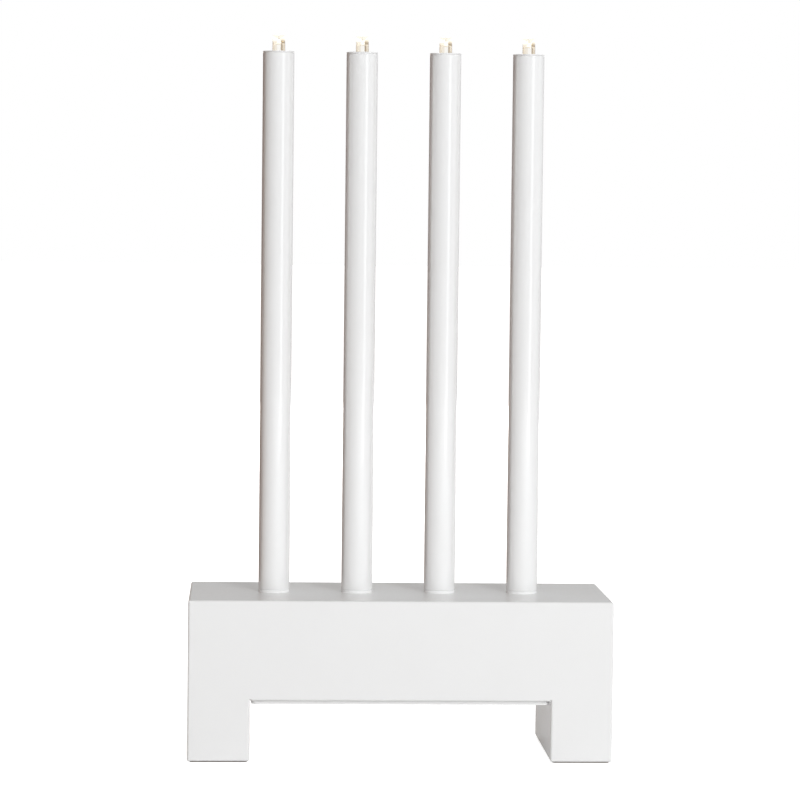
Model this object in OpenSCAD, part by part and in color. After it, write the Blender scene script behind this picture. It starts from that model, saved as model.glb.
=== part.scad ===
/* [Base] */
// Width of the base, across the front
base_w = 161; // [158:1:240]
// Depth of the base, front to back
base_d = 61; // [58:1:90]
// Height of the painted base, from the felt pads to its top face
base_h = 61; // [58:0.5:80]
// Width of each foot
foot_w = 23.5; // [20:0.5:25]
// Height of each foot, from the felt pad to the underside of the beam
foot_h = 23; // [14:0.5:25]
// Thickness of the boards that the base is glued from
board_t = 9; // [8:0.5:9.5]
// Radius of the upper corners of the front outline
corner_r = 1; // [0.5:0.1:4]
// Radius of the eased edges
edge_r = 0.8; // [0.4:0.1:1.5]

/* [Felt pads] */
// Thickness of the felt pad under each foot
pad_t = 0.5; // [0.4:0.1:2]
// How far the felt stays back from the edges of the foot
pad_inset = 0.8; // [0.6:0.1:4]
// Radius of the corners of the felt
pad_r = 1.2; // [0.5:0.1:4]

/* [Candle tubes] */
// Distance between neighbouring tubes, centre to centre
candle_pitch = 32; // [30:0.5:34]
// Outside diameter of the tubes
tube_d = 12; // [10.5:0.5:18]
// Wall of the tubes
tube_wall = 1; // [0.6:0.1:1.3]
// Length of the tubes
tube_l = 206; // [100:1:260]
// Chamfer where a tube meets the fittings at its two ends
tube_chamfer = 0.25; // [0.1:0.05:0.3]
// Thickness of the flange that a tube stands on
flange_t = 1; // [0.8:0.1:3]
// Length of the spigot that holds a tube from inside
spigot_l = 8; // [5:0.5:20]
// Diameter of the hollow stud that goes through the top board
stud_d = 6; // [5.6:0.1:8]
// Diameter of the wire hole through the stud
stud_bore_d = 4; // [3.8:0.1:4.4]
// Length of stud that shows past its nut
stud_end_l = 1.2; // [0.4:0.1:1.8]
// Width of the nut across its flats
nut_af = 10; // [9.5:0.5:13]
// Thickness of the nut
nut_t = 3; // [2:0.1:3.5]
// Outside diameter of the washer
washer_d = 12.5; // [11:0.5:16]
// Thickness of the washer
washer_t = 0.8; // [0.5:0.1:1.2]

/* [Lamps] */
// Diameter of the clear lamp body at its foot
lamp_d = 5; // [4.6:0.1:5.6]
// Diameter of the lamp body at its rim
lamp_rim_d = 4.8; // [4.4:0.1:5]
// Height of the lamp, from the underside of its flange to its rim
lamp_h = 8.6; // [7.5:0.1:10]
// Height of the lamp that shows above the cap
lamp_show_h = 6; // [4.5:0.1:6.4]
// Diameter of the lamp flange
lamp_flange_d = 5.8; // [5.7:0.1:6.4]
// Thickness of the lamp flange
lamp_flange_t = 1; // [0.6:0.1:1.2]
// Rounding of the lamp rim
lamp_rim_r = 0.35; // [0.15:0.05:0.5]
// Width of the cone-shaped hollow in the top of the lamp
hollow_d = 3.9; // [3:0.1:4]
// Depth of the hollow
hollow_depth = 1.9; // [1:0.1:2.2]
// Distance between the two lead wires of a lamp
lead_pitch = 2.54; // [2.3:0.01:2.6]
// Thickness of the lead wires
lead_t = 0.5; // [0.4:0.05:0.6]
// Length of the lead wires below the lamp flange
lead_l = 9; // [5:0.5:20]
// Thickness of the rim of the cap on top of a tube
cap_rim_t = 0.6; // [0.4:0.1:1]
// Length of the cap's plug inside the tube
cap_plug_l = 6; // [4:0.5:12]

/* [Bottom cover] */
// Thickness of the cover plate and of the lid that lies flush in it
cover_t = 1.5; // [1.4:0.1:2.5]
// Gap between the cover plate and each foot
cover_gap = 0.5; // [0.3:0.1:1.5]
// How far the plate stays back from the front and back faces
cover_setback = 2; // [1.5:0.1:2.5]
// Radius of the corners of the plate
cover_r = 2.5; // [1:0.1:4]
// Distance of the cover screws from the plate's ends
screw_inset = 3.2; // [3:0.1:3.8]
// Diameter of the cover screws
screw_d = 2.4; // [2:0.1:2.8]
// Diameter of the heads of the cover screws
screw_head_d = 4.4; // [4:0.1:4.8]
// Length of the cover screws
screw_l = 9; // [6:0.5:16]

/* [Battery bay] */
// Diameter of a cell
cell_d = 14.5; // [13.5:0.1:14.8]
// Length of a cell with its contact nub
cell_l = 50.5; // [44:0.1:51]
// Room around a cell
cell_gap = 0.35; // [0.3:0.05:0.6]
// Wall of the bay
bay_wall = 1.5; // [1.2:0.1:2]
// Thickness of the rib between the cells and of the saddles above them
bay_rib = 1.2; // [0.8:0.1:1.6]
// Thickness of the sheet that the contacts are cut from
contact_t = 0.4; // [0.3:0.05:0.6]
// Length of a contact spring as it is squeezed by its cell
spring_l = 5.5; // [5:0.1:6]
// Diameter of the spring wire
spring_wire_d = 0.7; // [0.5:0.05:0.8]

/* [Battery lid] */
// How far the tongues of the lid reach into the grooves of the cover
tongue = 1.2; // [0.8:0.1:1.4]
// Thickness of the ledge that carries a tongue
ledge_t = 0.65; // [0.5:0.05:0.7]
// Gap around the lid
lid_gap = 0.2; // [0.15:0.01:0.22]
// Number of grip ribs on the lid
grip_ribs = 5; // [3:1:7]
// Width of the grip ribs
grip_w = 16; // [8:1:30]

/* [Switch] */
// Length of the switch housing
switch_l = 12.7; // [12.5:0.1:15]
// Width of the switch housing
switch_w = 6.6; // [6.2:0.1:8]
// Height of the switch housing
switch_h = 5; // [4.6:0.1:6]
// Distance between two settings of the switch
switch_step = 2; // [1.5:0.1:2.1]
// Length of the knob along its travel
knob_l = 3; // [2:0.1:3.2]
// Width of the knob
knob_w = 3; // [2:0.1:3.2]
// How far the knob stands out of the cover
knob_out = 1.4; // [0.8:0.1:2.5]

/* [Control board] */
// Length of the circuit board
pcb_l = 30; // [29:0.5:33]
// Width of the circuit board
pcb_w = 30; // [29:0.5:34]
// Thickness of the circuit board
pcb_t = 1.2; // [0.8:0.1:1.6]
// Outside diameter of the wires
wire_d = 1; // [0.8:0.05:1.1]
// Distance between neighbouring wires along their run
lane_pitch = 2.5; // [2.3:0.1:2.8]

/* [Hidden] */
$fn = 64;
candle_count = 4;
switch_settings = 3;
overrun = 0.5;            // how far a cut runs past the faces that it opens
fit_gap = 0.05;           // each side of a glued or screwed seat
free_gap = 0.3;           // each side of a hole that something passes through
pass_gap = 0.2;           // between a face that slides and the one above it
embed = 0.6;              // how deep a rib or boss is fused into its wall

// Levels above the surface that the feet stand on
under_z = pad_t + foot_h;
top_z = pad_t + base_h;
ceiling_z = top_z - board_t;
stud_end_z = ceiling_z - washer_t - nut_t - stud_end_l;
tube_z = top_z + flange_t;
tube_top_z = tube_z + tube_l;
cap_z = tube_top_z + cap_rim_t;
lamp_z = cap_z + lamp_show_h - lamp_h;
cover_z = under_z - cover_t;

// Plan of the base
notch_w = base_w - 2 * foot_w;
inner_w = base_w - 2 * board_t;
inner_d = base_d - 2 * board_t;
cover_l = notch_w - 2 * cover_gap;
cover_w = base_d - 2 * cover_setback;
screw_x = cover_l / 2 - screw_inset;
screw_y = cover_w / 2 - screw_inset;
screw_cone_h = (screw_head_d - screw_d) / 2;

// Battery bay, with its inner corner at bay_x0 and bay_y0
groove_wall = tongue + bay_wall;
cell_y = (cell_d + bay_rib) / 2 + cell_gap;
bay_y0 = -(cell_y + cell_d / 2 + cell_gap);
bay_l = cell_l + spring_l + 2 * contact_t;
bay_x0 = -cover_l / 2 + 2 * screw_inset + groove_wall;
bay_x1 = bay_x0 + bay_l;
lid_top_z = under_z - lid_gap;
cell_z = lid_top_z + cell_gap + cell_d / 2;
bay_top_z = cell_z + cell_d / 2 + cell_gap;
roof_z = bay_top_z + bay_wall;
groove_wall_h = 2.5;
saddle_shares = [0.22, 0.5, 0.78];
saddle_low_z = cell_z + cell_d / 4;
nub_l = 1.1;
nub_d = 5.4;
cell_end_t = 0.4;         // thickness of the steel rim at the ends of a cell
cell_end_step = 0.3;      // how far the rim is smaller than the wrapped cell
contact_w = 10.5;
contact_low_z = lid_top_z + cell_gap + cell_gap;
contact_top_z = bay_top_z - pass_gap;
tab_w = 2.6;
tab_h = 2;
spring_r0 = 3.4;
spring_r1 = 2.5;
spring_turns = 3;
rings_per_turn = 8;
spring_sides = 6;

// Grip of the lid
grip_rib_w = 0.7;
grip_rib_t = 0.4;
grip_pitch = 1.7;
grip_inset = 2.2;

// Switch, with its housing hung under the circuit board
bay_end_x = bay_x1 + groove_wall;
pcb_place_share = 0.065;  // of the spare length beside the circuit board, what lies next to the bay
pcb_x0 = bay_end_x + pcb_place_share * (inner_w / 2 - bay_end_x - pcb_l);
pcb_z = under_z + pass_gap + switch_h;
pcb_top_z = pcb_z + pcb_t;
plate_end_x = min(pcb_x0 + pcb_l, cover_l / 2);    // where the circuit board or the plate under it ends
switch_x_share = 0.6;
switch_y_share = 0.2;
switch_x = pcb_x0 + switch_x_share * (plate_end_x - pcb_x0);
switch_y = pcb_w * switch_y_share;
switch_travel = (switch_settings - 1) * switch_step;
switch_wall = 0.5;
slider_l = 5.4;
slider_w = 4.2;
slider_t = 1.4;
knob_x = switch_x - switch_travel / 2;
knob_groove = 0.35;
pin_d = 0.7;
pin_over = 0.6;           // how far a pin stands out of the far side of the circuit board
pin_dx = switch_l / 2 - slider_l / 3;
pin_dy = switch_w / 4;

// Circuit board and what is on it
boss_d = 4.6;
pcb_screw_d = 2;
pcb_screw_l = 5;
pcb_screw_head_d = 3.8;
pcb_screw_head_t = 1.4;
pcb_screw_inset = 3;
recess_w = 0.55;          // width of a cross recess in a screw head
recess_share = 0.62;      // its length as a share of the head
recess_depth = 0.7;
pad_x_share = 0.3;
pad_x = pcb_x0 + pcb_l * pad_x_share;
resistor_d = 1.7;
resistor_l = 3.4;
resistor_x = pad_x + resistor_l;
resistor_lead_d = 0.5;
chip_l = 4.9;
chip_w = 3.9;
chip_t = 1.5;
chip_lift = 0.15;
chip_legs = 4;
chip_leg_pitch = 1.27;
chip_leg_w = 0.42;
chip_leg_reach = 1;
chip_leg_t = 0.2;
chip_x_share = 0.8;
chip_y_share = -0.2;
chip_x = pcb_x0 + pcb_l * chip_x_share;
chip_y = pcb_w * chip_y_share;
chip_foot_l = chip_leg_reach / 2;

// Wires: they leave the studs, run over the bay in lanes and come down on the circuit board
wire_sides = 8;
wire_bend_steps = 4;
wire_bend_share = 1.35;
wire_bend_r = wire_bend_share * wire_d;
first_lane = 3 * wire_d;
run_z = (roof_z + tab_h + stud_end_z) / 2;
lead_end_z = lamp_z - lead_l;
battery_wire_z = roof_z + tab_h / 2;
battery_pad_x = pcb_x0 + pcb_screw_inset;

// Inside of a lamp
frame_top_z = lamp_z + lamp_h - hollow_depth - 4 * lead_t;
anvil_w = 1.7;
anvil_h = 1.6;
anvil_t = 0.9;
cup_d = 0.8;
cup_depth = 0.4;
post_w = 0.9;
resin_gap = 0.02;         // between the lead frame and the clear body cast round it

candles = [for (i = [1:candle_count]) i];

function candle_x(i) = (i - (candle_count + 1) / 2) * candle_pitch;
function lane_y(i) = first_lane + (candle_count - i) * lane_pitch;

// A box from its lowest corner to its highest
module block(low, high) {
    translate(low) cube(high - low);
}

// A flat rectangle between z0 and z1 with its own radius at the top and at the foot
module rounded_outline(w, z0, z1, r_top, r_low) {
    translate([-w / 2, z0 + r_low]) square([w, z1 - z0 - r_top - r_low]);
    translate([-w / 2 + r_top, z0 + r_low]) square([w - 2 * r_top, z1 - z0 - r_low]);
    translate([-w / 2 + r_low, z0]) square([w - 2 * r_low, z1 - z0 - r_top]);
    for (side = [-1, 1]) {
        translate([side * (w / 2 - r_top), z1 - r_top]) circle(r_top);
        translate([side * (w / 2 - r_low), z0 + r_low]) circle(r_low);
    }
}

// A plate with rounded corners, centred on the origin and standing on z = 0
module rounded_plate(l, w, t, r) {
    linear_extrude(t) rounded_outline(l, -w / 2, w / 2, r, r);
}

// What a quarter round takes off an edge that runs along Z through the origin
module edge_cutter(length, r) {
    linear_extrude(length, center = true) difference() {
        translate([-overrun, -overrun]) square(r + overrun);
        translate([r, r]) circle(r);
    }
}

// The gap under the beam, with eased edges where it meets the undersides of the feet
module notch_outline() {
    translate([-notch_w / 2, -overrun]) square([notch_w, under_z + overrun]);
    for (side = [-1, 1]) mirror([side < 0 ? 1 : 0, 0]) translate([notch_w / 2, pad_t]) difference() {
        translate([-overrun, -overrun]) square(edge_r + overrun);
        translate([edge_r, edge_r]) circle(edge_r);
    }
}

// Eased edges of the notch on the front and back faces
module notch_edges() {
    for (face = [0, 1]) mirror([0, face, 0]) {
        translate([0, -base_d / 2, under_z]) rotate([0, 90, 0]) mirror([1, 0, 0])
            edge_cutter(notch_w, edge_r);
        for (side = [0, 1]) mirror([side, 0, 0])
            translate([notch_w / 2, -base_d / 2, under_z / 2]) edge_cutter(under_z + 2 * edge_r, edge_r);
    }
}

// The whole painted form: a beam on two feet, rounded in front view, side view and plan
module painted_form() {
    difference() {
        intersection() {
            rotate([90, 0, 0]) linear_extrude(base_d, center = true)
                rounded_outline(base_w, pad_t, top_z, corner_r, edge_r);
            rotate([90, 0, 90]) linear_extrude(base_w, center = true)
                rounded_outline(base_d, pad_t, top_z, edge_r, edge_r);
            linear_extrude(top_z) rounded_outline(base_w, -base_d / 2, base_d / 2, edge_r, edge_r);
        }
        rotate([90, 0, 0]) linear_extrude(base_d + 2 * overrun, center = true) notch_outline();
        notch_edges();
    }
}

// Pilot holes for the cover screws in the lower edges of the front and back boards
module pilot_holes() {
    for (x = [-screw_x, screw_x], y = [-screw_y, screw_y])
        translate([x, y, under_z - overrun]) cylinder(d = screw_d + 2 * fit_gap, h = screw_l + overrun);
}

module face_board(side) {
    color("white") difference() {
        intersection() {
            painted_form();
            block([-base_w, side > 0 ? inner_d / 2 : -base_d, 0],
                  [base_w, side > 0 ? base_d : -inner_d / 2, top_z + overrun]);
        }
        pilot_holes();
    }
}

module top_board() {
    color("white") difference() {
        intersection() {
            painted_form();
            block([-base_w, -inner_d / 2, ceiling_z], [base_w, inner_d / 2, top_z + overrun]);
        }
        for (i = candles) translate([candle_x(i), 0, ceiling_z - overrun])
            cylinder(d = stud_d + free_gap, h = board_t + 2 * overrun);
    }
}

module end_board(side) {
    color("white") intersection() {
        painted_form();
        mirror([side < 0 ? 1 : 0, 0, 0])
            block([inner_w / 2, -inner_d / 2, 0], [base_w, inner_d / 2, ceiling_z]);
    }
}

module foot_block(side) {
    color("white") intersection() {
        painted_form();
        mirror([side < 0 ? 1 : 0, 0, 0])
            block([notch_w / 2, -inner_d / 2, 0], [inner_w / 2, inner_d / 2, under_z]);
    }
}

module felt_pad(side) {
    color("tan") translate([side * (base_w - foot_w) / 2, 0, 0])
        rounded_plate(foot_w - 2 * pad_inset, base_d - 2 * pad_inset, pad_t, pad_r);
}

module tube(i) {
    r = tube_d / 2;
    color("white") translate([candle_x(i), 0, tube_z]) rotate_extrude() polygon([
        [r - tube_wall, 0], [r - tube_chamfer, 0], [r, tube_chamfer],
        [r, tube_l - tube_chamfer], [r - tube_chamfer, tube_l], [r - tube_wall, tube_l]]);
}

// Flange, spigot and hollow stud in one turned piece, with its wire hole
module tube_foot(i) {
    r = tube_d / 2;
    spigot_r = r - tube_wall - fit_gap;
    color("gainsboro") translate([candle_x(i), 0, top_z]) difference() {
        rotate_extrude() polygon([
            [0, stud_end_z - top_z], [stud_d / 2, stud_end_z - top_z], [stud_d / 2, 0], [r, 0],
            [r, flange_t - tube_chamfer], [r - tube_chamfer, flange_t], [spigot_r, flange_t],
            [spigot_r, flange_t + spigot_l], [0, flange_t + spigot_l]]);
        translate([0, 0, stud_end_z - top_z - overrun])
            cylinder(d = stud_bore_d, h = top_z - stud_end_z + flange_t + spigot_l + 2 * overrun);
    }
}

module tube_washers() {
    color("silver") for (i = candles) translate([candle_x(i), 0, ceiling_z - washer_t]) difference() {
        cylinder(d = washer_d, h = washer_t);
        translate([0, 0, -overrun]) cylinder(d = stud_d + free_gap, h = washer_t + 2 * overrun);
    }
}

module tube_nuts() {
    nut_z = ceiling_z - washer_t - nut_t;
    color("silver") for (i = candles) translate([candle_x(i), 0, nut_z]) difference() {
        cylinder(d = nut_af / cos(30), h = nut_t, $fn = 6);
        translate([0, 0, -overrun]) cylinder(d = stud_d + 2 * fit_gap, h = nut_t + 2 * overrun);
    }
}

// Cap: a thin rim on the end of the tube, and a plug with a seat for the lamp flange
module lamp_cap(i) {
    r = tube_d / 2;
    plug_r = r - tube_wall - fit_gap;
    seat_z = lamp_z + lamp_flange_t;
    color("whitesmoke") translate([candle_x(i), 0, 0]) difference() {
        rotate_extrude() polygon([
            [0, tube_top_z - cap_plug_l], [plug_r, tube_top_z - cap_plug_l], [plug_r, tube_top_z],
            [r - tube_chamfer, tube_top_z], [r, tube_top_z + tube_chamfer], [r, cap_z], [0, cap_z]]);
        translate([0, 0, seat_z - overrun])
            cylinder(d = lamp_d + 2 * fit_gap, h = cap_z - seat_z + 2 * overrun);
        translate([0, 0, tube_top_z - cap_plug_l - overrun])
            cylinder(d = lamp_flange_d + 2 * fit_gap, h = seat_z - tube_top_z + cap_plug_l + overrun);
    }
}

// Clear lamp body: a flange with its flat, a slightly tapered body and a cone-shaped hollow in a rounded rim
module lamp_lens(i) {
    rim_r = lamp_rim_d / 2;
    rim_z = lamp_h - lamp_rim_r;
    color("lightyellow", 0.5) translate([candle_x(i), 0, 0]) difference() {
        translate([0, 0, lamp_z]) rotate_extrude() difference() {
            union() {
                square([lamp_flange_d / 2, lamp_flange_t]);
                polygon([[0, 0], [lamp_d / 2, 0], [lamp_d / 2, lamp_flange_t],
                         [rim_r, rim_z], [0, rim_z]]);
                square([rim_r - lamp_rim_r, lamp_h]);
                translate([rim_r - lamp_rim_r, rim_z]) circle(lamp_rim_r);
            }
            polygon([[0, lamp_h - hollow_depth], [hollow_d / 2, lamp_h], [0, lamp_h]]);
        }
        block([lamp_d / 2, -lamp_flange_d, lamp_z - overrun],
              [lamp_flange_d, lamp_flange_d, lamp_z + lamp_flange_t]);
        lead_frame(resin_gap);
    }
}

// Anvil with its cup, post and the two lead wires; grow widens every part of it for the cast body
module lead_frame(grow) {
    half = lead_pitch / 2;
    leg = lead_t / 2 + grow;
    for (side = [-1, 1])
        block([side * half - leg, -leg, lead_end_z], [side * half + leg, leg, frame_top_z - anvil_h]);
    difference() {
        block([-half - leg, -anvil_t / 2 - grow, frame_top_z - anvil_h - grow],
              [anvil_w - half + grow, anvil_t / 2 + grow, frame_top_z + grow]);
        if (grow == 0)
            translate([0, 0, frame_top_z - cup_depth]) cylinder(d = cup_d, h = cup_depth + overrun);
    }
    block([half - post_w / 2 - grow + lead_t / 4, -leg, frame_top_z - anvil_h - grow],
          [half + leg, leg, frame_top_z - lead_t + grow]);
}

module lamp_lead_frame(i) {
    color("silver") translate([candle_x(i), 0, 0]) lead_frame(0);
}

// The slot that the knob moves in, widened on every side by gap
module knob_slot(gap, z0, h) {
    translate([switch_x, switch_y, z0]) linear_extrude(h)
        square([knob_l + switch_travel + 2 * gap, knob_w + 2 * gap], center = true);
}

// Two opposite corners of the circuit board, or of its stretch over the cover plate, with a screw in each
module at_board_corners(z) {
    for (end = [[pcb_x0 + pcb_screw_inset, -1], [plate_end_x - pcb_screw_inset, 1]])
        translate([end[0], end[1] * (pcb_w / 2 - pcb_screw_inset), z]) children();
}

// The saddles that hold the cells down, hung from the roof of the bay and cut to the cells
module saddles() {
    difference() {
        for (share = saddle_shares)
            block([bay_x0 + share * bay_l - bay_rib / 2, bay_y0 - embed, saddle_low_z],
                  [bay_x0 + share * bay_l + bay_rib / 2, -bay_y0 + embed, bay_top_z + embed]);
        for (side = [-1, 1]) translate([bay_x0 - overrun, side * cell_y, cell_z]) rotate([0, 90, 0])
            cylinder(d = cell_d + 2 * cell_gap, h = bay_l + 2 * overrun);
    }
}

// Moulded cover: plate, battery bay over it, posts for the circuit board and a slot for the knob
module bottom_cover() {
    color("white") difference() {
        union() {
            translate([0, 0, cover_z]) rounded_plate(cover_l, cover_w, cover_t, cover_r);
            difference() {
                union() {
                    block([bay_x0 - groove_wall, bay_y0 - groove_wall, under_z - embed],
                          [bay_x1 + groove_wall, -bay_y0 + bay_wall, under_z + groove_wall_h]);
                    block([bay_x0 - bay_wall, bay_y0 - bay_wall, under_z],
                          [bay_x1 + bay_wall, -bay_y0 + bay_wall, roof_z]);
                }
                block([bay_x0, bay_y0, cover_z - overrun], [bay_x1, -bay_y0, bay_top_z]);
            }
            saddles();
            block([bay_x0 + spring_l, -bay_rib / 2, cell_z],
                  [bay_x1 - spring_l, bay_rib / 2, bay_top_z + embed]);
            at_board_corners(under_z - embed) cylinder(d = boss_d, h = pcb_z - under_z + embed);
        }
        block([bay_x0 - lid_gap, bay_y0 - lid_gap, cover_z - overrun],
              [bay_x1 + lid_gap, base_d, under_z]);
        block([bay_x0 - tongue - lid_gap, bay_y0 - tongue - lid_gap, cover_z + ledge_t],
              [bay_x1 + tongue + lid_gap, base_d, under_z]);
        for (side = [-1, 1]) tab_slot(side);
        knob_slot(free_gap, cover_z - overrun, cover_t + 2 * overrun);
        at_board_corners(under_z) cylinder(d = pcb_screw_d + 2 * fit_gap, h = pcb_z - under_z + overrun);
        for (x = [-screw_x, screw_x], y = [-screw_y, screw_y]) translate([x, y, cover_z]) {
            translate([0, 0, -overrun]) cylinder(d = screw_d + free_gap, h = cover_t + 2 * overrun);
            cylinder(d1 = screw_head_d + free_gap, d2 = screw_d + free_gap, h = screw_cone_h);
        }
    }
}

module tab_slot(side) {
    block([bay_x1 - contact_t - pass_gap, side * cell_y - tab_w / 2 - pass_gap, bay_top_z - overrun],
          [bay_x1, side * cell_y + tab_w / 2 + pass_gap, roof_z + overrun]);
}

// A cross recess, cut downwards from z = 0
module cross_recess(head_d) {
    for (turn = [0, 90]) rotate(turn) translate([0, 0, -recess_depth / 2 + overrun / 2])
        cube([head_d * recess_share, recess_w, recess_depth + overrun], center = true);
}

module cover_screws() {
    color("silver") for (x = [-screw_x, screw_x], y = [-screw_y, screw_y])
        translate([x, y, cover_z]) difference() {
            union() {
                cylinder(d1 = screw_head_d, d2 = screw_d, h = screw_cone_h);
                cylinder(d = screw_d, h = screw_l);
            }
            mirror([0, 0, 1]) cross_recess(screw_head_d);
        }
}

// Lid: flush with the cover, with tongues that run in its grooves and ribs for the thumb
module battery_lid() {
    rear_y = cover_w / 2;
    color("white") {
        block([bay_x0, bay_y0, cover_z], [bay_x1, rear_y, lid_top_z]);
        block([bay_x0 - tongue, bay_y0 - tongue, cover_z + ledge_t + lid_gap],
              [bay_x1 + tongue, rear_y, lid_top_z]);
        for (k = [0:grip_ribs - 1])
            translate([(bay_x0 + bay_x1 - grip_w) / 2, rear_y - grip_inset - k * grip_pitch - grip_rib_w,
                       cover_z - grip_rib_t])
                cube([grip_w, grip_rib_w, grip_rib_t + ledge_t]);
    }
}

// A cell lies along X; end is the side, -1 or 1, where its contact nub is
module cell(side, end) {
    x_nub = end > 0 ? bay_x1 - contact_t : bay_x0 + contact_t;
    body_l = cell_l - nub_l;
    color("dimgray") translate([x_nub, side * cell_y, cell_z]) rotate([0, -90 * end, 0]) {
        cylinder(d = nub_d, h = nub_l + cell_end_t);
        translate([0, 0, nub_l]) cylinder(d = cell_d - 2 * cell_end_step, h = body_l);
        translate([0, 0, nub_l + cell_end_t]) cylinder(d = cell_d, h = body_l - 2 * cell_end_t);
    }
}

// Contact sheet against an end wall of the bay; reach is the side, -1 or 1, that the wall is on
module contact_sheet(reach, y0, y1) {
    x0 = reach > 0 ? bay_x1 - contact_t : bay_x0;
    block([x0, y0, contact_low_z], [x0 + contact_t, y1, contact_top_z]);
}

module contact_tab(side) {
    block([bay_x1 - contact_t, side * cell_y - tab_w / 2, contact_top_z - embed],
          [bay_x1, side * cell_y + tab_w / 2, roof_z + tab_h]);
}

module bridge_contact() {
    color("silver") contact_sheet(-1, -cell_y - contact_w / 2, cell_y + contact_w / 2);
}

module positive_contact() {
    color("silver") {
        contact_sheet(1, -cell_y - contact_w / 2, -cell_y + contact_w / 2);
        contact_tab(-1);
    }
}

module negative_contact() {
    color("silver") {
        contact_sheet(1, cell_y - contact_w / 2, cell_y + contact_w / 2);
        contact_tab(1);
    }
}

function unit(v) = v / norm(v);
function path_tangents(p) = [for (i = [0:len(p) - 1]) unit(p[min(i + 1, len(p) - 1)] - p[max(i - 1, 0)])];
function first_side(t) = unit(cross(t, abs(t.z) < 0.9 ? [0, 0, 1] : [1, 0, 0]));
function square_to(n, t) = unit(n - (n * t) * t);
function path_sides(t) = [for (i = 0, n = first_side(t[0]); i < len(t);
    n = square_to(n, t[min(i + 1, len(t) - 1)]), i = i + 1) n];

// A round bar along a path, as one closed body of flat triangles
module bar_along(path, d, sides) {
    t = path_tangents(path);
    n = path_sides(t);
    last = len(path) - 1;
    ring = [for (k = [0:sides - 1]) [cos(360 * k / sides), sin(360 * k / sides)]];
    points = [for (i = [0:last], c = ring) path[i] + d / 2 * (c.x * n[i] + c.y * cross(t[i], n[i]))];
    walls = [for (i = [0:last - 1], k = [0:sides - 1])
        let (a = i * sides + k, b = i * sides + (k + 1) % sides)
        each [[a, a + sides, b], [b, a + sides, b + sides]]];
    polyhedron(points, concat(walls,
        [[for (k = [0:sides - 1]) k]], [[for (k = [sides - 1:-1:0]) last * sides + k]]));
}

// A contact spring: a coil that narrows from the contact sheet towards its cell
function spring_path(side) =
    let (turns = spring_turns, steps = turns * rings_per_turn,
         x0 = side < 0 ? bay_x0 + contact_t : bay_x1 - contact_t,
         lift = spring_wire_d / 2 + fit_gap)
    [for (k = [0:steps])
        let (share = k / steps, r = spring_r0 + (spring_r1 - spring_r0) * share, a = 360 * turns * share)
        [x0 - side * (lift + (spring_l - 2 * lift) * share),
         side * cell_y + r * cos(a), cell_z + r * sin(a)]];

function least_gap(path, d, apart) =
    min([for (i = [0:len(path) - 1 - apart], j = [i + apart:len(path) - 1]) norm(path[i] - path[j])]) - d;
echo(spring_least_gap_mm = least_gap(spring_path(1), spring_wire_d, rings_per_turn / 2));

module contact_spring(side) {
    color("silver") bar_along(spring_path(side), spring_wire_d, spring_sides);
}

module at_switch_pins(z) {
    for (dx = [-pin_dx, pin_dx], dy = [-pin_dy, pin_dy])
        translate([switch_x + dx, switch_y + dy, z]) children();
}

module switch_housing() {
    low_z = pcb_z - switch_h;
    slider_room = slider_l + switch_travel + 2 * pass_gap;
    color("silver") difference() {
        union() {
            block([switch_x - switch_l / 2, switch_y - switch_w / 2, low_z],
                  [switch_x + switch_l / 2, switch_y + switch_w / 2, pcb_z]);
            at_switch_pins(pcb_z - embed) cylinder(d = pin_d, h = embed + pcb_t + pin_over);
        }
        block([switch_x - slider_room / 2, switch_y - slider_w / 2 - pass_gap, low_z + switch_wall],
              [switch_x + slider_room / 2, switch_y + slider_w / 2 + pass_gap,
               low_z + switch_wall + slider_t + 2 * pass_gap]);
        knob_slot(pass_gap, low_z - overrun, switch_wall + 2 * overrun);
    }
}

module switch_knob() {
    slider_z = pcb_z - switch_h + switch_wall + pass_gap;
    knob_z = cover_z - knob_out;
    color("white") difference() {
        union() {
            block([knob_x - slider_l / 2, switch_y - slider_w / 2, slider_z],
                  [knob_x + slider_l / 2, switch_y + slider_w / 2, slider_z + slider_t]);
            block([knob_x - knob_l / 2, switch_y - knob_w / 2, knob_z],
                  [knob_x + knob_l / 2, switch_y + knob_w / 2, slider_z + slider_t / 2]);
        }
        for (k = [-1, 0, 1]) translate([knob_x + k * knob_l / 4, switch_y, knob_z])
            cube([knob_groove, knob_w + 2 * overrun, 2 * knob_groove], center = true);
    }
}

module control_board() {
    color("seagreen") difference() {
        translate([pcb_x0 + pcb_l / 2, 0, pcb_z]) rounded_plate(pcb_l, pcb_w, pcb_t, recess_w);
        at_board_corners(pcb_z - overrun) cylinder(d = pcb_screw_d + free_gap, h = pcb_t + 2 * overrun);
        at_switch_pins(pcb_z - overrun) cylinder(d = pin_d + 2 * fit_gap, h = pcb_t + 2 * overrun);
    }
}

module board_screws() {
    color("silver") at_board_corners(pcb_top_z) difference() {
        union() {
            cylinder(d = pcb_screw_head_d, h = pcb_screw_head_t);
            translate([0, 0, -pcb_screw_l]) cylinder(d = pcb_screw_d, h = pcb_screw_l + embed);
        }
        translate([0, 0, pcb_screw_head_t]) cross_recess(pcb_screw_head_d);
    }
}

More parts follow.
